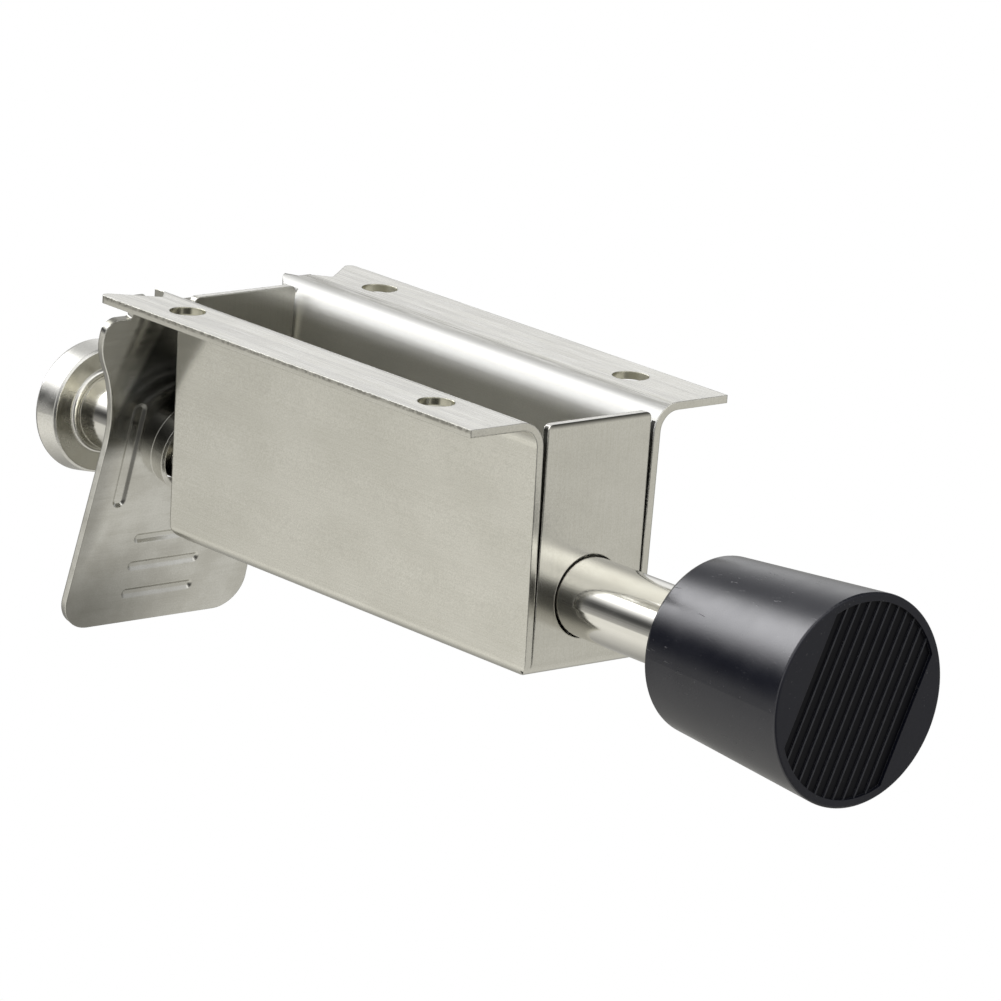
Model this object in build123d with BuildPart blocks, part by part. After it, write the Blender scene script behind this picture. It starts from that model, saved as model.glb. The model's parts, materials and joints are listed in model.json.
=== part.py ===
"""Foot-operated plunger door holder.

A folded steel housing is screwed to the foot of a door. A round plunger with a rubber foot slides
in its two end tabs. Stepping on the knob pushes the foot to the floor, and a canted release plate
jams on the plunger and holds it there. Pressing the plate squares it to the plunger, and the
return spring lifts the foot.

Frame: +Z up along the plunger, +Y into the door, origin at the centre of the four screw holes on
the door face. All sizes are in millimetres.
"""

import math
import os

from build123d import *

# Housing: one folded sheet
SHEET = 1.2
FLANGE_WIDTH = 48.4
HOUSING_DEPTH = 38.5
HOUSING_LENGTH = 84.5
FLANGE_LENGTH = 88.9
LIP_LENGTH = 89.6
WALL_TOP_HALF = 11.75
WALL_BOTTOM_HALF = 10.95
FLANGE_BEND = 4.2
BOTTOM_BEND = 0.6
TAB_HALF_WIDTH = 9.65
TAB_TOP = -0.9
TAB_BEND = 2.4
TAB_CORNER = 0.9
EDGE_BREAK = 0.15

# Screw holes in the flanges
SCREW_SPACING_X = 36.8
SCREW_SPACING_Z = 58.8
SCREW_HOLE_RADIUS = 2.75
FIRST_SCREW = 14.9

# Heights measured from the screw pattern's centre
LOWER_END = -(FIRST_SCREW + SCREW_SPACING_Z / 2)
UPPER_END = LOWER_END + HOUSING_LENGTH
FLANGE_END = LOWER_END + FLANGE_LENGTH
LIP_END = LOWER_END + LIP_LENGTH

# Flange notches that take the release plate's ears, each beside a pointed lip on the bend
NOTCH_BOTTOM = UPPER_END - 1.9
NOTCH_X = 16.3
NOTCH_RADIUS = 0.5
FLANGE_TIP_RADIUS = 1.0
LIP_X = 12.3
LIP_INNER = 11.2
LIP_SHOULDER = (12.9, LIP_END - 2.9)
LIP_UNDERSIDE = -2.4

# Plunger
PLUNGER_RADIUS = 6.0
PLUNGER_Y = -27.35
PLUNGER_HOLE_RADIUS = 6.25
STROKE_UP = 27.0
SPIGOT_RADIUS = 4.0
FOOT_GRIP_RADIUS = 4.9

# Rubber foot
FOOT_TOP = LOWER_END - 27.4
FOOT_LENGTH = 30.6
FOOT_TOP_RADIUS = 13.1
FOOT_SOLE_RADIUS = 15.55
FOOT_SOLE = FOOT_TOP - FOOT_LENGTH
FOOT_SOCKET_DEPTH = 22.0
SOLE_ANGLE = 23.4
SOLE_BAND_HALF_WIDTH = 10.3
SOLE_BAND_RADIUS = 14.25
SOLE_BAND_DEPTH = 0.6
RIDGE_COUNT = 10
RIDGE_WIDTH = 0.3
RIDGE_HEIGHT = 0.25

# Knob
KNOB_RADIUS = 10.6
KNOB_FACE_RADIUS = 10.05
KNOB_THICKNESS = 5.0
KNOB_FACE = LOWER_END + 116.3
KNOB_COLLAR_RADIUS = 6.9
KNOB_COLLAR_HEIGHT = 0.6
KNOB_CROWN = 0.5
KNOB_TOP = KNOB_FACE + KNOB_THICKNESS

# Return spring, its washer and the retaining ring in the plunger's groove
RING_THICKNESS = 1.1
RING_RADIUS = 8.6
RING_GROOVE_RADIUS = 5.0
WASHER_THICKNESS = 1.5
WASHER_RADIUS = 9.2
WASHER_BORE = 6.15
STOP_CLEARANCE = 0.4
RING_GAP = 0.05
RING_TOP = UPPER_END - SHEET - STROKE_UP - STOP_CLEARANCE
RING_BOTTOM = RING_TOP - RING_THICKNESS
WASHER_TOP = RING_BOTTOM - RING_GAP
WASHER_BOTTOM = WASHER_TOP - WASHER_THICKNESS
RETURN_WIRE = 1.6
RETURN_MEAN_RADIUS = 7.9
RETURN_TURNS = 13

# Release plate
PLATE = 1.2
PLATE_CANT = 14.5
PLATE_Z = LOWER_END + 94.4
PLATE_HOLE_RADIUS = 6.85
PLATE_HOLE_OFFSET = 0.22
PLATE_COLLAR_RADIUS = 7.6
PLATE_COLLAR_DEPTH = 2.8
PLATE_BOTTOM = -31.1
PLATE_CENTRE_TOP = 25.3
EAR_TOP = 26.9
EAR_INNER = 14.9
EAR_OUTER = 17.4
SHOULDER_HALF = 21.9
SHOULDER_TOP = 23.4
SHOULDER_BOTTOM = SHOULDER_TOP - 2.8
SHOULDER_CORNER = 2.2
WAIST_HALF = 16.5
WAIST_Y = 1.0
TOE_HALF = 17.6
TOE_CORNER = 5.2
PRESSING_HEIGHT = 0.42
PRESSING_SLOPE = 55
RIB_LENGTH = 14.2
RIB_WIDTH = 2.2
RIB_CENTRES = (-16.1, -21.0, -25.9)
BEAD_LENGTH = 18.6
BEAD_WIDTH = 3.0
BEAD_X = 11.6
BEAD_Y = -0.9
PRESSING_WALL = 0.2

# Release spring, coned, between the upper tab and the release plate's collar
RELEASE_WIRE = 1.0
RELEASE_BASE_RADIUS = 8.3
RELEASE_TOP_RADIUS = 7.1
RELEASE_LENGTH = 5.0
RELEASE_TURNS = 3

os.makedirs("parts", exist_ok=True)

plunger_axis = Axis((0, PLUNGER_Y, 0), (0, 0, 1))
half_section = Plane((0, PLUNGER_Y, 0), x_dir=(1, 0, 0), z_dir=(0, -1, 0))
plate_plane = Plane(
    (0, PLUNGER_Y, PLATE_Z),
    x_dir=(1, 0, 0),
    z_dir=(0, math.sin(math.radians(PLATE_CANT)), math.cos(math.radians(PLATE_CANT))),
)


def wall_inner(top_or_bottom_half):
    """Half the width inside the walls, from half the width outside them."""
    return top_or_bottom_half - SHEET


# ---------------------------------------------------------------- housing
with BuildPart() as housing:
    # Flanges, walls and bottom: the sheet's door-side line, thickened outwards
    with BuildSketch(Plane.XY.offset(LOWER_END)):
        with BuildLine():
            FilletPolyline(
                (-FLANGE_WIDTH / 2, 0),
                (-wall_inner(WALL_TOP_HALF), 0),
                (-wall_inner(WALL_BOTTOM_HALF), -HOUSING_DEPTH + SHEET),
                (wall_inner(WALL_BOTTOM_HALF), -HOUSING_DEPTH + SHEET),
                (wall_inner(WALL_TOP_HALF), 0),
                (FLANGE_WIDTH / 2, 0),
                radius=(FLANGE_BEND, BOTTOM_BEND, BOTTOM_BEND, FLANGE_BEND),
            )
            offset(amount=SHEET, side=Side.RIGHT)
        make_face()
    extrude(amount=LIP_LENGTH)

    # The walls and the bottom end short of the flanges, and have rounded lower corners
    with BuildSketch(Plane.XY.offset(UPPER_END)):
        with Locations((0, -HOUSING_DEPTH / 2)):
            Rectangle(2 * LIP_INNER, HOUSING_DEPTH + 2 * SHEET)
        with Locations((0, LIP_UNDERSIDE - HOUSING_DEPTH / 2)):
            Rectangle(FLANGE_WIDTH, HOUSING_DEPTH)
    extrude(amount=LIP_END - UPPER_END, mode=Mode.SUBTRACT)
    with BuildSketch(Plane.YZ):
        with BuildLine():
            FilletPolyline(
                (SHEET, LOWER_END),
                (-HOUSING_DEPTH, LOWER_END),
                (-HOUSING_DEPTH, UPPER_END),
                (-HOUSING_DEPTH / 2, UPPER_END),
                radius=TAB_BEND,
            )
            Polyline(
                (-HOUSING_DEPTH / 2, UPPER_END),
                (-HOUSING_DEPTH / 2, LIP_END),
                (SHEET, LIP_END),
                (SHEET, LOWER_END),
            )
        make_face()
    extrude(amount=FLANGE_WIDTH, both=True, mode=Mode.INTERSECT)

    # Flange ends: a pointed lip on each bend, and a slanted notch beside it for the plate's ear
    with BuildSketch(Plane.XZ):
        with BuildLine():
            Polyline(
                (FLANGE_WIDTH, FLANGE_END),
                (FLANGE_WIDTH, LIP_END + SHEET),
                (LIP_INNER - SHEET, LIP_END + SHEET),
                (LIP_INNER - SHEET, LIP_END - SHEET),
                (LIP_INNER + SHEET / 10, LIP_END - SHEET),
                (LIP_X - SHEET / 6, LIP_END),
                (LIP_X + SHEET / 6, LIP_END),
                LIP_SHOULDER,
            )
            FilletPolyline(
                LIP_SHOULDER,
                (NOTCH_X, NOTCH_BOTTOM),
                (FLANGE_WIDTH / 2, FLANGE_END),
                (FLANGE_WIDTH, FLANGE_END),
                radius=(NOTCH_RADIUS, SHEET / 3),
            )
        make_face()
        mirror(about=Plane.YZ)
    extrude(amount=HOUSING_DEPTH / 2, both=True, mode=Mode.SUBTRACT)
    flange_tips = housing.edges().filter_by(Axis.Y).filter_by(
        lambda edge: abs(edge.center().X) > FLANGE_WIDTH / 2 - SHEET / 10 and edge.center().Z > 0
    )
    fillet(flange_tips, FLANGE_TIP_RADIUS)

    # End tabs, folded up from the bottom
    with BuildSketch(Plane.YZ):
        with BuildLine():
            FilletPolyline(
                (TAB_TOP, LOWER_END),
                (-HOUSING_DEPTH, LOWER_END),
                (-HOUSING_DEPTH, UPPER_END),
                (TAB_TOP, UPPER_END),
                radius=TAB_BEND,
            )
            offset(amount=SHEET, side=Side.RIGHT)
        make_face()
    extrude(amount=TAB_HALF_WIDTH, both=True)
    tab_corners = housing.edges().filter_by(Axis.Z).filter_by(
        lambda edge: abs(edge.center().Y - TAB_TOP) < SHEET / 10
    )
    fillet(tab_corners, TAB_CORNER)

    # Plunger holes through both tabs, and screw holes through the flanges
    with BuildSketch(Plane.XY.offset(LOWER_END)):
        with Locations((0, PLUNGER_Y)):
            Circle(PLUNGER_HOLE_RADIUS)
    extrude(amount=HOUSING_LENGTH, mode=Mode.SUBTRACT)
    with BuildSketch(Plane.XZ):
        with GridLocations(SCREW_SPACING_X, SCREW_SPACING_Z, 2, 2):
            Circle(SCREW_HOLE_RADIUS)
    extrude(amount=HOUSING_DEPTH / 2, both=True, mode=Mode.SUBTRACT)

# ---------------------------------------------------------------- plunger and what is on it
with BuildPart() as plunger_shaft:
    shaft_end = FOOT_TOP - FOOT_SOCKET_DEPTH
    grip_top = FOOT_TOP - FOOT_SOCKET_DEPTH / 3
    grip_bottom = FOOT_TOP - 2 * FOOT_SOCKET_DEPTH / 3
    with BuildSketch(half_section):
        with BuildLine():
            Polyline(
                (0, shaft_end),
                (PLUNGER_RADIUS - 0.8, shaft_end),
                (PLUNGER_RADIUS, shaft_end + 0.8),
                (PLUNGER_RADIUS, grip_bottom),
                (FOOT_GRIP_RADIUS, grip_bottom),
                (FOOT_GRIP_RADIUS, grip_top),
                (PLUNGER_RADIUS, grip_top),
                (PLUNGER_RADIUS, RING_BOTTOM),
                (RING_GROOVE_RADIUS, RING_BOTTOM),
                (RING_GROOVE_RADIUS, RING_TOP),
                (PLUNGER_RADIUS, RING_TOP),
                (PLUNGER_RADIUS, KNOB_FACE),
                (SPIGOT_RADIUS, KNOB_FACE),
                (SPIGOT_RADIUS, KNOB_TOP),
                (SPIGOT_RADIUS - 0.6, KNOB_TOP + 0.5),
                (0, KNOB_TOP + 0.8),
                close=True,
            )
        make_face()
    revolve(axis=plunger_axis)

with BuildPart() as step_knob:
    with BuildSketch(half_section):
        with BuildLine():
            Line((SPIGOT_RADIUS, KNOB_TOP), (SPIGOT_RADIUS, KNOB_FACE))
            Line((SPIGOT_RADIUS, KNOB_FACE), (PLUNGER_RADIUS, KNOB_FACE))
            Line((PLUNGER_RADIUS, KNOB_FACE), (PLUNGER_RADIUS, KNOB_FACE - KNOB_COLLAR_HEIGHT))
            ThreePointArc(
                (PLUNGER_RADIUS, KNOB_FACE - KNOB_COLLAR_HEIGHT),
                (KNOB_COLLAR_RADIUS - 0.2, KNOB_FACE - 0.7 * KNOB_COLLAR_HEIGHT),
                (KNOB_COLLAR_RADIUS, KNOB_FACE),
            )
            Line((KNOB_COLLAR_RADIUS, KNOB_FACE), (KNOB_FACE_RADIUS - 0.35, KNOB_FACE))
            Line((KNOB_FACE_RADIUS - 0.35, KNOB_FACE), (KNOB_FACE_RADIUS, KNOB_FACE + 0.35))
            Line((KNOB_FACE_RADIUS, KNOB_FACE + 0.35), (KNOB_RADIUS, KNOB_TOP - 1.2))
            ThreePointArc(
                (KNOB_RADIUS, KNOB_TOP - 1.2),
                (KNOB_RADIUS - 0.35, KNOB_TOP - 0.45),
                (KNOB_RADIUS - 1.2, KNOB_TOP - 0.1),
            )
            ThreePointArc(
                (KNOB_RADIUS - 1.2, KNOB_TOP - 0.1),
                (KNOB_RADIUS / 2 + 1.4, KNOB_TOP + KNOB_CROWN / 5),
                (SPIGOT_RADIUS, KNOB_TOP),
            )
        make_face()
    revolve(axis=plunger_axis)

with BuildPart() as rubber_foot:
    with BuildSketch(half_section):
        with BuildLine():
            Polyline(
                (PLUNGER_RADIUS, FOOT_TOP),
                (FOOT_TOP_RADIUS, FOOT_TOP),
                (FOOT_SOLE_RADIUS, FOOT_SOLE),
                (0, FOOT_SOLE),
                (0, shaft_end),
                (PLUNGER_RADIUS - 0.8, shaft_end),
                (PLUNGER_RADIUS, shaft_end + 0.8),
                (PLUNGER_RADIUS, grip_bottom),
                (FOOT_GRIP_RADIUS, grip_bottom),
                (FOOT_GRIP_RADIUS, grip_top),
                (PLUNGER_RADIUS, grip_top),
                close=True,
            )
        make_face()
    revolve(axis=plunger_axis)
    round_edges = rubber_foot.edges().filter_by(GeomType.CIRCLE)
    fillet(round_edges.filter_by(lambda edge: abs(edge.radius - FOOT_TOP_RADIUS) < 0.01), 0.9)
    fillet(round_edges.filter_by(lambda edge: abs(edge.radius - FOOT_SOLE_RADIUS) < 0.01), 0.4)

    # Grooved band across the sole, sunk between two smooth segments
    sole_plane = Plane((0, PLUNGER_Y, FOOT_SOLE), z_dir=(0, 0, 1)).rotated((0, 0, SOLE_ANGLE))
    with BuildSketch(sole_plane):
        Circle(SOLE_BAND_RADIUS)
        Rectangle(2 * SOLE_BAND_HALF_WIDTH, 2 * SOLE_BAND_RADIUS, mode=Mode.INTERSECT)
    extrude(amount=SOLE_BAND_DEPTH, mode=Mode.SUBTRACT)
    with BuildSketch(sole_plane.offset(SOLE_BAND_DEPTH)):
        with GridLocations(2 * SOLE_BAND_HALF_WIDTH / (RIDGE_COUNT + 1), 1, RIDGE_COUNT, 1):
            Rectangle(RIDGE_WIDTH, 2 * SOLE_BAND_RADIUS)
        Circle(SOLE_BAND_RADIUS, mode=Mode.INTERSECT)
    extrude(amount=-RIDGE_HEIGHT)

# ---------------------------------------------------------------- return spring and its seat
with BuildPart() as spring_washer:
    with BuildSketch(Plane.XY.offset(WASHER_BOTTOM)):
        with Locations((0, PLUNGER_Y)):
            Circle(WASHER_RADIUS)
            Circle(WASHER_BORE, mode=Mode.SUBTRACT)
    extrude(amount=WASHER_THICKNESS)
    chamfer(spring_washer.edges().filter_by(GeomType.CIRCLE), EDGE_BREAK)

with BuildPart() as retaining_ring:
    with BuildSketch(Plane.XY.offset(RING_BOTTOM)):
        with Locations((0, PLUNGER_Y)):
            Circle(RING_RADIUS)
            Circle(RING_GROOVE_RADIUS, mode=Mode.SUBTRACT)
            with PolarLocations(RING_RADIUS - 1.6, 3, start_angle=90):
                Circle(0.9, mode=Mode.SUBTRACT)
        with Locations((0, PLUNGER_Y - RING_RADIUS)):
            Rectangle(1.7 * RING_GROOVE_RADIUS, 2 * RING_RADIUS, mode=Mode.SUBTRACT)
    extrude(amount=RING_THICKNESS)

with BuildPart() as return_spring:
    return_bottom = LOWER_END + SHEET + RETURN_WIRE / 2
    return_height = WASHER_BOTTOM - RETURN_WIRE / 2 - return_bottom
    with BuildLine(Plane((0, PLUNGER_Y, return_bottom))):
        return_coil = Helix(return_height / RETURN_TURNS, return_height, RETURN_MEAN_RADIUS)
    with BuildSketch(Plane(return_coil @ 0, z_dir=return_coil % 0)):
        Circle(RETURN_WIRE / 2)
    sweep(path=return_coil, is_frenet=True)

# ---------------------------------------------------------------- release plate and its spring
with BuildPart() as release_plate:
    with BuildSketch(plate_plane):
        with BuildLine():
            FilletPolyline(
                (0, PLATE_CENTRE_TOP),
                (EAR_INNER, PLATE_CENTRE_TOP),
                (EAR_INNER, EAR_TOP),
                (EAR_OUTER, EAR_TOP),
                (EAR_OUTER, SHOULDER_TOP),
                (SHOULDER_HALF, SHOULDER_TOP),
                (SHOULDER_HALF, SHOULDER_BOTTOM),
                radius=(0.4, 0.6, 0.6, 0.4, SHOULDER_CORNER),
            )
            Spline(
                (SHOULDER_HALF, SHOULDER_BOTTOM),
                (19.5, 13.9),
                (17.3, 8.0),
                (WAIST_HALF, WAIST_Y),
                tangents=((0, -1), (0, -1)),
            )
            FilletPolyline(
                (WAIST_HALF, WAIST_Y),
                (TOE_HALF, PLATE_BOTTOM),
                (0, PLATE_BOTTOM),
                radius=TOE_CORNER,
            )
            Line((0, PLATE_BOTTOM), (0, PLATE_CENTRE_TOP))
        make_face()
        mirror(about=Plane.YZ)
    extrude(amount=PLATE)

    # The hole, drawn down into a short collar
    with BuildSketch(plate_plane):
        with Locations((0, PLATE_HOLE_OFFSET)):
            Circle(PLATE_COLLAR_RADIUS)
    extrude(amount=-PLATE_COLLAR_DEPTH)
    with BuildSketch(plate_plane.offset(PLATE)):
        with Locations((0, PLATE_HOLE_OFFSET)):
            Circle(PLATE_HOLE_RADIUS)
    extrude(amount=-PLATE - PLATE_COLLAR_DEPTH, mode=Mode.SUBTRACT)

    # Pressed ribs and beads: sunk on the lower face and standing out on the tread face
    for inset, base, mode in (
        (0, PLATE, Mode.ADD),
        (PRESSING_WALL, 0, Mode.SUBTRACT),
    ):
        with BuildSketch(plate_plane.offset(base)):
            with Locations(*[(0, rib_y) for rib_y in RIB_CENTRES]):
                SlotOverall(RIB_LENGTH - 2 * inset, RIB_WIDTH - 2 * inset)
            with Locations((BEAD_X, BEAD_Y), (-BEAD_X, BEAD_Y)):
                SlotOverall(BEAD_LENGTH - 2 * inset, BEAD_WIDTH - 2 * inset, rotation=90)
        extrude(amount=PRESSING_HEIGHT, taper=PRESSING_SLOPE, mode=mode)

with BuildPart() as release_spring:
    release_bottom = UPPER_END + RELEASE_WIRE / 2
    release_height = RELEASE_LENGTH - RELEASE_WIRE
    cone = math.degrees(math.atan((RELEASE_TOP_RADIUS - RELEASE_BASE_RADIUS) / release_height))
    with BuildLine(Plane((0, PLUNGER_Y, release_bottom))):
        release_coil = Helix(
            release_height / RELEASE_TURNS,
            release_height,
            RELEASE_BASE_RADIUS,
            cone_angle=cone,
        )
    with BuildSketch(Plane(release_coil @ 0, z_dir=release_coil % 0)):
        Circle(RELEASE_WIRE / 2)
    sweep(path=release_coil, is_frenet=True)

# ---------------------------------------------------------------- one file for each piece
pieces = {
    "housing": housing,
    "plunger_shaft": plunger_shaft,
    "step_knob": step_knob,
    "rubber_foot": rubber_foot,
    "spring_washer": spring_washer,
    "retaining_ring": retaining_ring,
    "return_spring": return_spring,
    "release_plate": release_plate,
    "release_spring": release_spring,
}
for piece_name, piece in pieces.items():
    piece.part.label = piece_name
    export_step(piece.part, f"parts/{piece_name}.step")
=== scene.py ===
"""Looks of the floor door holder: satin sheet steel, polished plunger, black rubber foot and wire springs.

Everything is in metres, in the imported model's frame: +Z up along the plunger, +Y into the door.
"""

import json
import math

import bmesh
import bpy
from mathutils import Matrix, Vector


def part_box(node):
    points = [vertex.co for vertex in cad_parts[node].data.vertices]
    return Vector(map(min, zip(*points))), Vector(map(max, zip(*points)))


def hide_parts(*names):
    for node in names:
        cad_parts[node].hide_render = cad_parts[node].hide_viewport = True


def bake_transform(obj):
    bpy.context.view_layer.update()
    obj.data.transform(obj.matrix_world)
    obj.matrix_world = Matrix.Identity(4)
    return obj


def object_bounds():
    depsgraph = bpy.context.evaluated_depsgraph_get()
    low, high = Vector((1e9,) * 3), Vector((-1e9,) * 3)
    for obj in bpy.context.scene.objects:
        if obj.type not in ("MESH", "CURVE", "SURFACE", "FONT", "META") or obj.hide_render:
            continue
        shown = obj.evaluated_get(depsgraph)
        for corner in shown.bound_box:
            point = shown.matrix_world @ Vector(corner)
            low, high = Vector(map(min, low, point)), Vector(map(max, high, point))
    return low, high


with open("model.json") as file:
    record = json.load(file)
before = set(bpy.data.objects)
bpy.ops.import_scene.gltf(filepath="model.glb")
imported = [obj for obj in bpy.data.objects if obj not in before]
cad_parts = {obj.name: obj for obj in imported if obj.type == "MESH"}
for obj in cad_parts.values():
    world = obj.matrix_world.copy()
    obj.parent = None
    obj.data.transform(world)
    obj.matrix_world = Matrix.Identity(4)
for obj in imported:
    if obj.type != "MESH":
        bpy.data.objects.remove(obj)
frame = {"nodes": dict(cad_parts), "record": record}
cad_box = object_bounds()

MM = 0.001

# Camera: below the holder and beyond its +X side, a little on the door's side, with +Y up in the picture
CAMERA_AT = Vector((647.9, 244.4, -775.7)) * MM
CAMERA_AIM = Vector((-0.63098, -0.25576, 0.73243))
CAMERA_UP = Vector((-0.11232, 0.96426, 0.23996))
SENSOR = 36.0
LENS = 253.04

# Studio: brightness by compass direction, in degrees from +X towards +Y, at four heights.
# The key light is near 60 degrees, above the horizon, and the dark gap beside it gives the steel its
# contrast. The overhead light is what the tapered foot reflects.
UPPER_LIGHT = (
    (-180, 0.4),
    (-155, 0.5),
    (-130, 0.4),
    (-110, 0.38),
    (-90, 0.55),
    (-65, 0.8),
    (-45, 1.08),
    (-31, 0.98),
    (-20, 0.88),
    (-10, 0.38),
    (0, 0.06),
    (13, 0.06),
    (22, 0.6),
    (32, 1.75),
    (43, 3.3),
    (55, 4.2),
    (67, 3.9),
    (77, 3.0),
    (87, 1.2),
    (98, 0.65),
    (125, 0.75),
    (150, 1.25),
    (166, 0.9),
    (180, 0.4),
)
LEVEL_LIGHT = (
    (-180, 0.4),
    (-140, 0.7),
    (-90, 0.8),
    (0, 0.8),
    (30, 1.0),
    (60, 1.4),
    (85, 0.9),
    (108, 0.1),
    (150, 0.1),
    (180, 0.4),
)
LOWER_LIGHT = (
    (-180, 0.72),
    (-158, 0.7),
    (-137, 0.65),
    (-112, 0.6),
    (-88, 0.6),
    (-68, 0.4),
    (-50, 0.1),
    (-18, 0.06),
    (15, 0.06),
    (30, 0.8),
    (45, 1.5),
    (61, 1.1),
    (77, 1.45),
    (95, 1.9),
    (118, 1.9),
    (135, 1.1),
    (152, 0.68),
    (168, 0.74),
    (180, 0.72),
)
OVERHEAD_LIGHT = (
    (-180, 0.7),
    (-163, 0.4),
    (-145, 0.25),
    (-110, 0.25),
    (-80, 0.3),
    (-45, 0.4),
    (-20, 0.38),
    (-6, 0.1),
    (8, 0.05),
    (20, 0.12),
    (30, 0.9),
    (40, 2.8),
    (50, 5.2),
    (63, 6.2),
    (76, 5.8),
    (87, 3.6),
    (96, 1.2),
    (106, 0.4),
    (118, 0.22),
    (132, 0.22),
    (146, 0.4),
    (158, 0.85),
    (170, 1.0),
    (180, 0.7),
)
BRIGHTEST = 10.0

# Where one light passes into the next, by the height of a direction: 0 is level and 1 straight up
TO_UPPER = (0.15, 0.5)
TO_OVERHEAD = (0.75, 0.81)
TO_LOWER = (-0.3, -0.6)

# Light is white from the door's side, which is +Y, and warm from the other
TO_WARM = (0.15, -0.3)
WHITE = (1, 1, 1, 1)
WARM = (1.0, 0.985, 0.93, 1)

# Floor
FLOOR_RADIUS = 2.0
FLOOR_SIDES = 96
FLOOR_FADE = (0.5, 1.9)
FLOOR_PAINT = (0.86, 0.86, 0.86, 1)

# Springs
STEPS_PER_TURN = 48
WIRE_SIDES = 16
RETURN_WIRE = 1.6 * MM
RETURN_TURNS = 13
RELEASE_WIRE = 1.0 * MM
RELEASE_TURNS = 3
RELEASE_CONE = 1.2 * MM
GROUND_SHARE = 0.3

# Broken edges, for the shading
SHEET_EDGE = 0.3 * MM
TURNED_EDGE = 0.24 * MM
FINE_EDGE = 0.12 * MM
EDGE_SAMPLES = 6

# Places with a finish or painted light and shade of their own, in millimetres along one axis. "Beside" is
# the distance from the middle plane to either side, and "aside" is along +X only. A pair is a range, or
# where a finish or painted shade starts and where it is full.
BELOW_BEND = (-6.5, -3.4)
TAB_BESIDE = 10.0
TAB_FACE = 0.15
TAB_TOP = (-1.75, -0.95)
GAP_BESIDE = (9.0, 10.8)
GAP_DEPTH = (0.25, 1.1)
HOLES_BESIDE = (14.5, 22.0)
HOLES_ALONG = (20.0, 36.0)
HOLES_THROUGH = (-1.3, 0.1)
RIM_WIDTH = 0.1
RIM_SHADOW_BAND = (-0.75, -0.35)
COLLAR_SHADE_BESIDE = (9.3, 7.7)
COLLAR_SHADE_SLANT = 0.36
COLLAR_SHADE_ALONG = (-29.5, -24.5)
SHOULDERS = (-20.0, -13.0)
EDGE_ASIDE = (12.5, 16.5)
EDGE_ALONG = (-17.0, -20.0)
TOE_ASIDE = (-10.0, 14.0)
TOE_ALONG = (-38.0, -55.0)
SUNK_BAND = (0.45, 2.0)
RIDGE_TOPS = (0.2, 0.45)


# ---------------------------------------------------------------- shader nodes
class Graph:
    """The node tree of a material or world, with one short call for each node."""

    def __init__(self, owner):
        owner.use_nodes = True
        self.tree = owner.node_tree
        self.tree.nodes.clear()

    def add(self, kind, inputs=(), output=0, **settings):
        """Adds a node and returns one of its outputs. An input is a value or another node's output."""
        node = self.tree.nodes.new("ShaderNode" + kind)
        for name, value in settings.items():
            setattr(node, name, value)
        for key, value in dict(inputs).items():
            if isinstance(value, bpy.types.NodeSocket):
                self.tree.links.new(value, node.inputs[key])
            else:
                node.inputs[key].default_value = value
        return node.outputs[output] if node.outputs else None

    def math(self, operation, *values):
        return self.add("Math", dict(enumerate(values)), operation=operation)

    def times(self, *factors):
        """The product of any number of values."""
        product = factors[0]
        for factor in factors[1:]:
            product = self.math("MULTIPLY", product, factor)
        return product

    def remap(self, value, low, high, new_low=0.0, new_high=1.0):
        """A smooth step from new_low to new_high while value goes from low to high."""
        limits = {"From Min": low, "From Max": high, "To Min": new_low, "To Max": new_high}
        return self.add("MapRange", {"Value": value, **limits}, interpolation_type="SMOOTHSTEP")

    def mix(self, factor, first, second, **settings):
        """A colour between two colours."""
        inputs = {0: factor, 6: first, 7: second}
        return self.add("Mix", inputs, output=2, data_type="RGBA", **settings)

    def layers(self, tone, *layers):
        """A tone with more colours laid over it, each by a mask, a strength and its colour."""
        for mask, strength, colour in layers:
            tone = self.mix(self.times(mask, strength), tone, colour)
        return tone

    def place(self, axis):
        """The place on the piece, along one axis."""
        return self.add("SeparateXYZ", {0: self.add("TexCoord", output="Object")}, output=axis)

    def facing(self, axis):
        """How far the surface faces along one axis, from -1 to 1."""
        return self.add("SeparateXYZ", {0: self.add("TexCoord", output="Normal")}, output=axis)

    def within(self, place, low, high):
        """1 where the place lies between two limits in millimetres, otherwise 0."""
        above = self.math("GREATER_THAN", place, low * MM)
        return self.times(above, self.math("LESS_THAN", place, high * MM))

    def fade(self, place, start, full):
        """A smooth step from 0 to 1 between two places in millimetres."""
        return self.remap(place, start * MM, full * MM)

    def noise(self, size, detail=2.0, place=None):
        """Noise on the piece, with cells of a size in millimetres, given as one number or as three."""
        if place is None:
            place = self.add("TexCoord", output="Object")
        sizes = size if isinstance(size, tuple) else (size, size, size)
        scale = tuple(1 / (s * MM) for s in sizes)
        cells = self.add("VectorMath", {0: place, 1: scale}, operation="MULTIPLY")
        return self.add("TexNoise", {"Vector": cells, "Scale": 1.0, "Detail": detail})

    def rounded(self, radius):
        """The normal of a surface whose edges are broken."""
        return self.add("Bevel", {"Radius": radius}, samples=EDGE_SAMPLES)

    def bump(self, height, depth, normal=None):
        """A normal from a height between 0 and 1 that stands for a depth in millimetres."""
        inputs = {"Height": height, "Distance": depth * MM}
        if normal is not None:
            inputs["Normal"] = normal
        return self.add("Bump", inputs)


def new_material(name, describe):
    """A material of one Principled shader, whose inputs come from describe(graph)."""
    material = bpy.data.materials.new(name)
    graph = Graph(material)
    shader = graph.add("BsdfPrincipled", describe(graph))
    graph.add("OutputMaterial", {"Surface": shader})
    return material


# ---------------------------------------------------------------- materials
def metal(tone, roughness, normal):
    """The shader inputs of a bare metal."""
    return {"Base Color": tone, "Metallic": 1.0, "Roughness": roughness, "Normal": normal}


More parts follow.
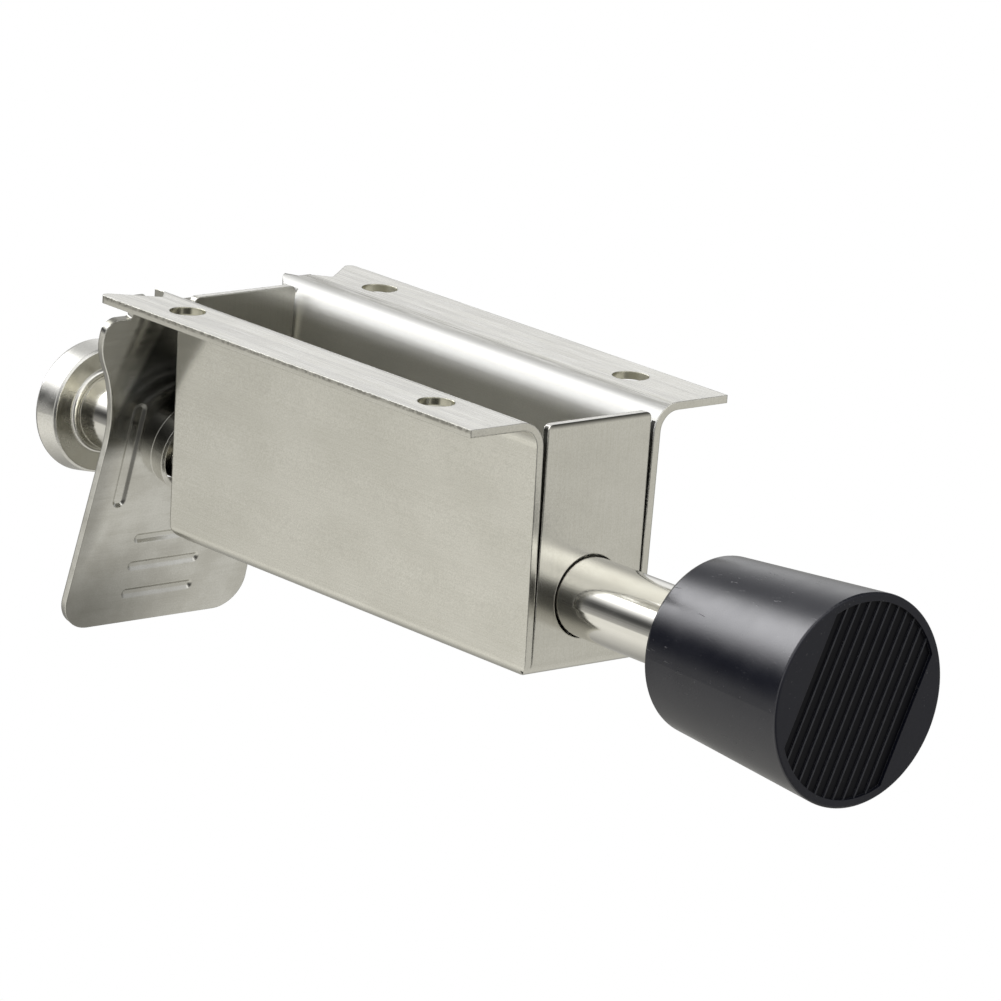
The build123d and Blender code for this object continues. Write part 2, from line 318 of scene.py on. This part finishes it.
def sheet_streaks(graph, width, length):
    """Streaks along the sheet: along Z on walls and flanges, along Y on the end tabs."""
    lies_flat = graph.math("GREATER_THAN", graph.math("ABSOLUTE", graph.facing("Z")), 0.7)
    upright = graph.noise((width, width, length), detail=1.0)
    flat = graph.noise((width, length, width), detail=1.0)
    return graph.add("Mix", {0: lies_flat, 2: upright, 3: flat}, data_type="FLOAT")


def satin_steel(graph):
    """Cold-rolled stainless sheet: grainy and faintly clouded, brushed lengthwise on the flanges."""
    clouds = graph.noise((14.0, 9.0, 14.0), detail=4.0)
    grain = graph.noise(0.22, detail=3.0)
    blotches = graph.noise(1.4, detail=3.0)
    bands = graph.noise((1.6, 1.6, 45.0), detail=3.0)
    nicks = graph.noise(0.6, detail=2.0)
    streaks = sheet_streaks(graph, 0.13, 11.0)

    x, y, z = (graph.place(axis) for axis in "XYZ")
    beside = graph.math("ABSOLUTE", x)
    from_end = graph.math("SUBTRACT", z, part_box("housing")[0].z)
    inward = graph.times(graph.facing("X"), graph.math("SIGN", x))
    sideways = graph.math("GREATER_THAN", graph.math("ABSOLUTE", graph.facing("X")), 0.7)
    to_door = graph.math("ABSOLUTE", graph.facing("Y"))
    upright = graph.math("LESS_THAN", to_door, 0.3)

    # Brushed flanges, and the channel: its inner faces lightened a little as painted light, painted shade
    # that dims the highlight on its outward bends, and a painted highlight on the walls just below them
    on_flange = graph.remap(to_door, 0.75, 0.95)
    brushed = graph.times(graph.remap(streaks, 0.4, 0.68), on_flange)
    inside = graph.remap(inward, -0.05, -0.6)
    bend = graph.times(graph.remap(inward, -0.26, -0.62), graph.remap(inward, -0.99, -0.8))
    below_bend = graph.times(graph.fade(y, *BELOW_BEND), graph.remap(inward, -0.85, -0.98))

    # The lower tab's top edge darkened as painted shade, painted shadow in the unlit gaps beside it,
    # olive-tinted painted shade on the screw holes' walls, and a painted shadow along the flanges' sheared
    # rims, broken by noise
    on_tab = graph.math("LESS_THAN", beside, TAB_BESIDE * MM)
    on_tab = graph.times(on_tab, graph.math("LESS_THAN", from_end, TAB_FACE * MM))
    tab_top = graph.times(on_tab, graph.fade(y, *TAB_TOP))
    gap = graph.times(graph.within(beside, *GAP_BESIDE), graph.within(from_end, *GAP_DEPTH), sideways)
    hole = graph.times(graph.within(beside, *HOLES_BESIDE), graph.within(y, *HOLES_THROUGH), upright)
    hole = graph.times(hole, graph.within(graph.math("ABSOLUTE", z), *HOLES_ALONG))
    rim = graph.math("GREATER_THAN", beside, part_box("housing")[1].x - RIM_WIDTH * MM)
    rim_shadow = graph.times(rim, upright, graph.fade(y, *RIM_SHADOW_BAND), graph.remap(nicks, 0.4, 0.6, 0.5, 1.0))

    tone = graph.layers(
        graph.mix(graph.remap(clouds, 0.25, 0.75), (0.62, 0.61, 0.553, 1), (0.69, 0.68, 0.625, 1)),
        (graph.remap(grain, 0.3, 0.7), 0.3, (0.48, 0.47, 0.42, 1)),
        (graph.remap(blotches, 0.5, 0.8), 0.2, (0.5, 0.49, 0.455, 1)),
        (graph.times(graph.remap(bands, 0.4, 0.65), on_flange), 0.55, (0.42, 0.41, 0.385, 1)),
        (brushed, 0.6, (0.92, 0.915, 0.9, 1)),
        (graph.remap(streaks, 0.3, 0.7), 0.1, (0.9, 0.89, 0.86, 1)),
        (inside, 0.22, (0.86, 0.86, 0.84, 1)),
        (below_bend, 0.95, (1.0, 1.0, 0.985, 1)),
        (bend, 0.9, (0.28, 0.28, 0.275, 1)),
        (hole, 0.8, (0.52, 0.505, 0.4, 1)),
        (tab_top, 0.97, (0.06, 0.058, 0.05, 1)),
        (rim_shadow, 0.7, (0.12, 0.115, 0.1, 1)),
        (gap, 0.95, (0.02, 0.02, 0.018, 1)),
    )
    roughness = graph.remap(grain, 0.3, 0.7, 0.16, 0.21)
    for mask, extra in ((brushed, 0.15), (inside, 0.17), (below_bend, 0.16)):
        roughness = graph.math("ADD", roughness, graph.times(mask, extra))
    normal = graph.bump(grain, 0.0025, graph.rounded(SHEET_EDGE))
    return metal(tone, roughness, graph.bump(brushed, 0.006, normal))


def pressed_steel(graph):
    """The release plate: sheet polished by its press tool, with fine lines across and faint clouds."""
    clouds = graph.noise(5.0, detail=5.0)
    grain = graph.noise(0.22, detail=3.0)
    lines = graph.noise((9.0, 0.2, 0.6), detail=2.0)
    smears = graph.noise((10.0, 1.5, 1.5), detail=3.0)

    # Underside: painted shade round the collar, painted light on the shoulders, and painted shade on the
    # edge and toe on one side.
    # Painted shade also darkens the edge that faces the door.
    x, y = graph.place("X"), graph.place("Y")
    under = graph.math("LESS_THAN", graph.facing("Z"), -0.5)
    slanted = graph.math("ADD", graph.math("ABSOLUTE", x), graph.times(y, COLLAR_SHADE_SLANT))
    collar_shade = graph.times(graph.fade(slanted, *COLLAR_SHADE_BESIDE), graph.fade(y, *COLLAR_SHADE_ALONG), under)
    shoulder_light = graph.times(graph.fade(y, *SHOULDERS), under)
    edge = graph.times(graph.fade(x, *EDGE_ASIDE), graph.fade(y, *EDGE_ALONG), 0.55)
    toe = graph.times(graph.fade(x, *TOE_ASIDE), graph.fade(y, *TOE_ALONG))
    grey = graph.times(graph.math("MAXIMUM", edge, toe), under)
    door_edge_shade = graph.remap(graph.facing("Y"), 0.4, 0.8)

    tone = graph.layers(
        graph.mix(graph.remap(clouds, 0.3, 0.7), (0.63, 0.62, 0.575, 1), (0.76, 0.755, 0.715, 1)),
        (graph.remap(smears, 0.5, 0.75), 0.25, (0.5, 0.49, 0.44, 1)),
        (graph.remap(grain, 0.3, 0.7), 0.25, (0.46, 0.45, 0.41, 1)),
        (graph.remap(lines, 0.5, 0.75), 0.15, (0.88, 0.875, 0.85, 1)),
        (shoulder_light, 1.0, (0.98, 0.975, 0.93, 1)),
        (grey, 0.7, (0.08, 0.078, 0.066, 1)),
        (collar_shade, 0.72, (0.02, 0.021, 0.02, 1)),
        (door_edge_shade, 0.75, (0.13, 0.125, 0.1, 1)),
    )
    roughness = graph.remap(smears, 0.4, 0.75, 0.15, 0.22)
    normal = graph.bump(grain, 0.003, graph.rounded(SHEET_EDGE))
    return metal(tone, roughness, graph.bump(lines, 0.002, normal))


def polished_steel(graph):
    """Drawn and polished bar: bright, with faint lines along it and light handling marks."""
    lines = graph.noise((0.25, 0.25, 18.0))
    clouds = graph.noise(4.0, detail=3.0)
    tone = graph.mix(clouds, (0.66, 0.645, 0.6, 1), (0.75, 0.74, 0.7, 1))
    marks = graph.remap(clouds, 0.45, 0.75, 0.0, 0.06)
    roughness = graph.math("ADD", graph.remap(lines, 0.3, 0.75, 0.09, 0.15), marks)
    return metal(tone, roughness, graph.bump(lines, 0.003, graph.rounded(FINE_EDGE)))


def turned_steel(graph):
    """The knob: satin from the lathe, with a painted reflection in bronze-grey on the faces across the
    bar.
    """
    clouds = graph.noise(2.5, detail=4.0)
    grain = graph.noise(0.25, detail=3.0)
    across = graph.remap(graph.math("ABSOLUTE", graph.facing("Z")), 0.85, 0.97)
    bronze = graph.mix(clouds, (0.26, 0.245, 0.18, 1), (0.42, 0.41, 0.345, 1))
    tone = graph.layers(
        graph.mix(clouds, (0.62, 0.61, 0.57, 1), (0.76, 0.755, 0.73, 1)),
        (across, 0.8, bronze),
        (graph.remap(grain, 0.3, 0.7), 0.25, (0.4, 0.39, 0.35, 1)),
    )
    roughness = graph.remap(clouds, 0.3, 0.7, 0.18, 0.28)
    return metal(tone, roughness, graph.bump(grain, 0.004, graph.rounded(TURNED_EDGE)))


def black_rubber(graph):
    """Moulded rubber: near black and semi-glossy, duller on the sole, with dust and scuffs."""
    clouds = graph.noise(5.0, detail=4.0)
    grain = graph.noise(0.3, detail=3.0)
    dust = graph.remap(graph.noise(0.4, detail=1.0), 0.74, 0.8)
    scuffs = graph.remap(graph.noise((0.35, 0.35, 2.5)), 0.62, 0.75)
    patches = graph.remap(graph.noise(6.0, detail=0.0), 0.52, 0.68)
    marks = graph.times(scuffs, patches)

    # The sole, the floor of its sunk band darkened as painted shade, and the lighter tops of the ridges in
    # it, patchy by noise
    above_sole = graph.math("SUBTRACT", graph.place("Z"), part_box("rubber_foot")[0].z)
    on_sole = graph.math("LESS_THAN", graph.facing("Z"), -0.7)
    sunk = graph.times(on_sole, graph.within(above_sole, *SUNK_BAND))
    ridges = graph.times(on_sole, graph.within(above_sole, *RIDGE_TOPS))
    paler_ridge_tops = graph.times(ridges, graph.remap(graph.noise(1.0), 0.35, 0.6, 0.35, 1.0))

    tone = graph.layers(
        graph.mix(clouds, (0.003, 0.0037, 0.008, 1), (0.0055, 0.0062, 0.0115, 1)),
        (dust, 0.4, (0.12, 0.12, 0.12, 1)),
        (marks, 0.25, (0.06, 0.06, 0.062, 1)),
        (sunk, 0.8, (0.0005, 0.0005, 0.001, 1)),
        (paler_ridge_tops, 0.8, (0.022, 0.023, 0.028, 1)),
    )
    dulled = graph.times(graph.math("MAXIMUM", marks, on_sole), 0.25)
    gloss = graph.math("SUBTRACT", 0.78, graph.times(on_sole, 0.45))
    normal = graph.bump(grain, 0.005, graph.rounded(FINE_EDGE))
    return {
        "Base Color": tone,
        "Roughness": graph.math("ADD", graph.remap(clouds, 0.3, 0.7, 0.16, 0.23), dulled),
        "Normal": graph.bump(marks, 0.02, normal),
        "IOR": 1.5,
        "Specular IOR Level": graph.math("SUBTRACT", gloss, graph.times(sunk, 0.2)),
        "Specular Tint": (0.93, 0.925, 0.96, 1),
    }


def zinc_steel(graph):
    """Zinc-plated washer: bluish grey, faintly spangled."""
    spangle = graph.noise(0.8, detail=1.0)
    tone = graph.mix(spangle, (0.5, 0.52, 0.55, 1), (0.66, 0.68, 0.69, 1))
    roughness = graph.remap(spangle, 0.3, 0.7, 0.32, 0.46)
    return metal(tone, roughness, graph.bump(graph.noise(0.2), 0.004, graph.rounded(FINE_EDGE)))


def dark_spring_steel(graph):
    """Blackened retaining ring, with brown where the oil has dried."""
    clouds = graph.noise(1.6, detail=3.0)
    tone = graph.mix(clouds, (0.05, 0.048, 0.046, 1), (0.13, 0.115, 0.1, 1))
    roughness = graph.remap(clouds, 0.3, 0.7, 0.35, 0.5)
    return metal(tone, roughness, graph.bump(graph.noise(0.15), 0.005, graph.rounded(FINE_EDGE)))


def spring_steel(graph):
    """Drawn wire: lines along it, from the wire's own UV map, and a little clouding."""
    unrolled = {0: graph.add("TexCoord", output="UV"), 1: (MM, MM, MM)}
    along = graph.add("VectorMath", unrolled, operation="MULTIPLY")
    lines = graph.noise((0.12, 9.0, 1.0), place=along)
    clouds = graph.noise(3.0, detail=3.0)
    tone = graph.mix(clouds, (0.42, 0.42, 0.41, 1), (0.58, 0.58, 0.56, 1))
    roughness = graph.remap(lines, 0.3, 0.7, 0.22, 0.36)
    return metal(tone, roughness, graph.bump(lines, 0.004))


def give_material(node, material):
    """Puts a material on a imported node."""
    for place in frame["nodes"][node].material_slots:
        place.material = material


def finish_cad_nodes():
    """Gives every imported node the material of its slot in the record, and returns the materials."""
    descriptions = (
        satin_steel,
        polished_steel,
        black_rubber,
        zinc_steel,
        dark_spring_steel,
        spring_steel,
    )
    materials = {describe.__name__: new_material(describe.__name__, describe) for describe in descriptions}
    for subpart in frame["record"]["subparts"]:
        give_material(subpart["node"], materials[subpart["material_slot"]])
    give_material("step_knob", new_material("turned_steel", turned_steel))
    give_material("release_plate", new_material("pressed_steel", pressed_steel))
    return materials


# ---------------------------------------------------------------- springs
def coil_heights(turns, wire, height):
    """Wire centre heights at even steps of turn: one closed turn at each end, open turns between."""
    steps = turns * STEPS_PER_TURN
    open_shares = [
        min(max(min(step, steps - step) / STEPS_PER_TURN - 0.5, 0.0), 1.0) for step in range(steps + 1)
    ]
    closed_climb = wire / STEPS_PER_TURN
    extra = (height - closed_climb * steps) / sum(open_shares)
    heights = [0.0]
    for share in open_shares[1:]:
        heights.append(heights[-1] + closed_climb + extra * share)
    return [h * height / heights[-1] for h in heights]


def add_spring(name, node, wire, turns, cone, material):
    """A round-wire helix with closed, ground ends that fills the box of a CAD spring."""
    low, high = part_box(node)
    centre_x, centre_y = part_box("plunger_shaft")[0].xy / 2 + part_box("plunger_shaft")[1].xy / 2
    base_radius = (high.x - low.x) / 2 - wire / 2
    sunk = GROUND_SHARE * wire
    heights = coil_heights(turns, wire, high.z - low.z - wire + 2 * sunk)

    mesh = bmesh.new()
    uv_layer = mesh.loops.layers.uv.new("UVMap")
    rings = []
    for step, height in enumerate(heights):
        angle = math.tau * step / STEPS_PER_TURN
        radius = base_radius - cone * step / (len(heights) - 1)
        outward = Vector((math.cos(angle), math.sin(angle), 0))
        centre = Vector((centre_x, centre_y, low.z + wire / 2 - sunk + height)) + outward * radius
        ring = []
        for side in range(WIRE_SIDES):
            turn = math.tau * side / WIRE_SIDES
            point = centre + (outward * math.cos(turn) + Vector((0, 0, math.sin(turn)))) * wire / 2
            point.z = min(max(point.z, low.z), high.z)
            ring.append(mesh.verts.new(point))
        rings.append(ring)

    # The wire's skin, with a UV map of it in millimetres: u round the wire and v along it
    step_length = math.tau * base_radius / STEPS_PER_TURN
    side_length = math.pi * wire / WIRE_SIDES
    for step in range(len(rings) - 1):
        for side in range(WIRE_SIDES):
            corners = ((side, step), (side + 1, step), (side + 1, step + 1), (side, step + 1))
            face = mesh.faces.new([rings[v][u % WIRE_SIDES] for u, v in corners])
            face.smooth = True
            for loop, (u, v) in zip(face.loops, corners):
                loop[uv_layer].uv = (u * side_length / MM, v * step_length / MM)
    mesh.faces.new(reversed(rings[0]))
    mesh.faces.new(rings[-1])
    bmesh.ops.recalc_face_normals(mesh, faces=mesh.faces)

    data = bpy.data.meshes.new(name)
    mesh.to_mesh(data)
    mesh.free()
    data.materials.append(material)
    spring = bpy.data.objects.new(name, data)
    bpy.context.scene.collection.objects.link(spring)
    return spring


def add_springs(material):
    """Both springs, each stretched between the body that it stands on and the body that it pushes."""
    for name, node, pushed, wire, turns, cone in (
        ("return_coil", "return_spring", "spring_seat", RETURN_WIRE, RETURN_TURNS, 0.0),
        ("release_coil", "release_spring", "release", RELEASE_WIRE, RELEASE_TURNS, RELEASE_CONE),
    ):
        spring = add_spring(name, node, wire, turns, cone, material)
        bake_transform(spring)
        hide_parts(node)


# ---------------------------------------------------------------- camera, floor and light
def add_camera():
    """The photograph's camera."""
    data = bpy.data.cameras.new("camera")
    data.sensor_width = SENSOR
    data.lens = LENS
    data.clip_start = 0.01
    data.clip_end = 50.0
    camera = bpy.data.objects.new("camera", data)
    bpy.context.scene.collection.objects.link(camera)
    back = -CAMERA_AIM.normalized()
    right = CAMERA_UP.cross(back).normalized()
    up = back.cross(right)
    turn = Matrix((right, up, back)).transposed()
    camera.matrix_world = Matrix.Translation(CAMERA_AT) @ turn.to_4x4()
    bpy.context.scene.camera = camera


def light_by_direction(graph, bearing, stops):
    """Brightness by compass bearing, as a colour ramp from -180 to 180 degrees."""
    share = graph.math("ADD", graph.math("DIVIDE", bearing, math.tau), 0.5)
    light = graph.add("ValToRGB", {"Fac": share})
    ramp = light.node.color_ramp
    ramp.interpolation = "B_SPLINE"
    for degrees, _ in stops[1:-1]:
        ramp.elements.new(degrees / 360 + 0.5)
    for element, (_, brightness) in zip(ramp.elements, stops):
        element.color = (brightness / BRIGHTEST,) * 3 + (1,)
    return light


def add_world():
    """White to the eye, and a soft studio for light and reflections."""
    world = bpy.data.worlds.new("studio")
    graph = Graph(world)
    direction = graph.add("SeparateXYZ", {0: graph.add("TexCoord", output="Generated")}).node.outputs
    bearing = graph.math("ARCTAN2", direction["Y"], direction["X"])
    overhead, upper, level, lower = (
        light_by_direction(graph, bearing, stops)
        for stops in (OVERHEAD_LIGHT, UPPER_LIGHT, LEVEL_LIGHT, LOWER_LIGHT)
    )
    light = graph.mix(graph.remap(direction["Z"], *TO_UPPER), level, upper)
    light = graph.mix(graph.remap(direction["Z"], *TO_OVERHEAD), light, overhead)
    light = graph.mix(graph.remap(direction["Z"], *TO_LOWER), light, lower)
    warmth = graph.mix(graph.remap(direction["Y"], *TO_WARM), WHITE, WARM)
    tinted = graph.mix(1.0, light, warmth, blend_type="MULTIPLY")
    studio = graph.add("Background", {"Color": tinted, "Strength": BRIGHTEST})
    white = graph.add("Background", {"Color": WHITE, "Strength": 1.0})
    seen = graph.add("LightPath", output="Is Camera Ray")
    graph.add("OutputWorld", {"Surface": graph.add("MixShader", {0: seen, 1: studio, 2: white})})
    bpy.context.scene.world = world
    bpy.context.scene.view_settings.view_transform = "Standard"


def floor_paint(graph):
    """Pale and matt from above, fading out with distance, and nothing from below."""
    matt = graph.add("BsdfDiffuse", {"Color": FLOOR_PAINT})
    nothing = graph.add("BsdfTransparent")
    place = graph.add("TexCoord", output="Object")
    distance = graph.add("VectorMath", {0: place}, output="Value", operation="LENGTH")
    faded = graph.remap(distance, *FLOOR_FADE)
    hidden = graph.math("MAXIMUM", faded, graph.add("NewGeometry", output="Backfacing"))
    return graph.add("MixShader", {0: hidden, 1: matt, 2: nothing})


def add_floor():
    """The floor under the rubber foot. The camera looks up through it, and so does the light."""
    bpy.ops.mesh.primitive_circle_add(
        vertices=FLOOR_SIDES, radius=FLOOR_RADIUS, fill_type="NGON", location=(0, 0, cad_box[0].z)
    )
    floor = bpy.context.object
    floor.name = "floor"
    material = bpy.data.materials.new("floor_paint")
    graph = Graph(material)
    graph.add("OutputMaterial", {"Surface": floor_paint(graph)})
    floor.data.materials.append(material)
    floor.visible_shadow = False
    floor.visible_diffuse = False
    floor.visible_glossy = False


finishes = finish_cad_nodes()
add_springs(finishes["spring_steel"])
add_camera()
add_floor()
add_world()
